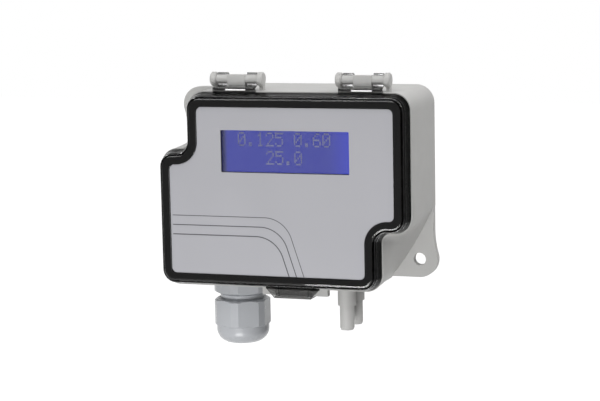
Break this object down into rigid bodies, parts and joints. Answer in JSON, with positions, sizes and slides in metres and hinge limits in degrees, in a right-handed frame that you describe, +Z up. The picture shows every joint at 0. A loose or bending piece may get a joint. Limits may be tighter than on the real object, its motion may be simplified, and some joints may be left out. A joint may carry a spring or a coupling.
{
  "type": "differential pressure transmitter",
  "caption": "Wall-mounted differential pressure transmitter: notched plastic case with screw ears, clear hinged lid over a lit display, stepped hose nozzles and a cable gland below.",
  "frame": {"origin": "middle of the case outline on its flat rear face, which lies against the wall", "axes": "+X to the right as the front is seen, +Y into the wall, +Z up, nozzles and gland down"},
  "size_m": [0.0934, 0.0348, 0.096],
  "materials": {
    "case_plastic": "fine moulded texture, light grey ABS",
    "clear_plastic": "polished clear polycarbonate",
    "label_film": "printed polyester film, light grey",
    "gasket_rubber": "black foamed rubber",
    "gland_plastic": "moulded polyamide, mid grey",
    "seal_rubber": "black rubber",
    "circuit_board": "green solder mask",
    "screw_steel": "zinc plated",
    "bezel_metal": "black painted sheet",
    "display_blue": "lit blue liquid crystal",
    "light_guide": "white light guide",
    "spacer_nylon": "natural nylon",
    "header_black": "black moulded",
    "pin_brass": "gold flashed",
    "sensor_plastic": "dark moulded",
    "tube_silicone": "translucent silicone",
    "terminal_plastic": "green moulded",
    "button_plastic": "black moulded",
    "can_aluminium": "drawn can"
  },
  "bodies": {
    "case": {"housing": "case_plastic", "gland_body": "gland_plastic", "gland_washer": "seal_rubber", "gland_locknut": "gland_plastic", "gland_seal": "seal_rubber", "main_board": "circuit_board", "board_screws": "screw_steel", "display_board": "circuit_board", "display_bezel": "bezel_metal", "display_glass": "display_blue", "display_backlight": "light_guide", "display_spacers": "spacer_nylon", "display_socket": "header_black", "display_pins": "pin_brass", "pressure_sensor": "sensor_plastic", "sensor_tube_front": "tube_silicone", "sensor_tube_rear": "tube_silicone", "terminal_block": "terminal_plastic", "terminal_clamps": "screw_steel", "terminal_screws": "screw_steel", "button_base": "button_plastic", "jumper_header": "header_black", "jumper_caps": "button_plastic", "controller_chip": "header_black", "capacitors": "can_aluminium", "chip_parts": "header_black"},
    "lid": {"lid": "clear_plastic", "front_label": "label_film", "lid_gasket": "gasket_rubber"},
    "dome_nut": {"gland_dome_nut": "gland_plastic"},
    "button": {"button_plunger": "button_plastic"}
  },
  "joints": [
    {"name": "lid_hinge", "type": "hinge", "parent": "case", "child": "lid", "pos_m": [0.0052, -0.0258, 0.0378], "axis": [-1, 0, 0], "range_deg": [0, 180]},
    {"name": "dome_nut_turn", "type": "hinge", "parent": "case", "child": "dome_nut", "pos_m": [-0.021, -0.0163, -0.045], "axis": [0, 0, 1], "continuous": true},
    {"name": "button_press", "type": "slide", "parent": "case", "child": "button", "axis": [0, 1, 0], "range_m": [0, 0.00025], "stiffness_N_per_m": 6000}
  ]
}
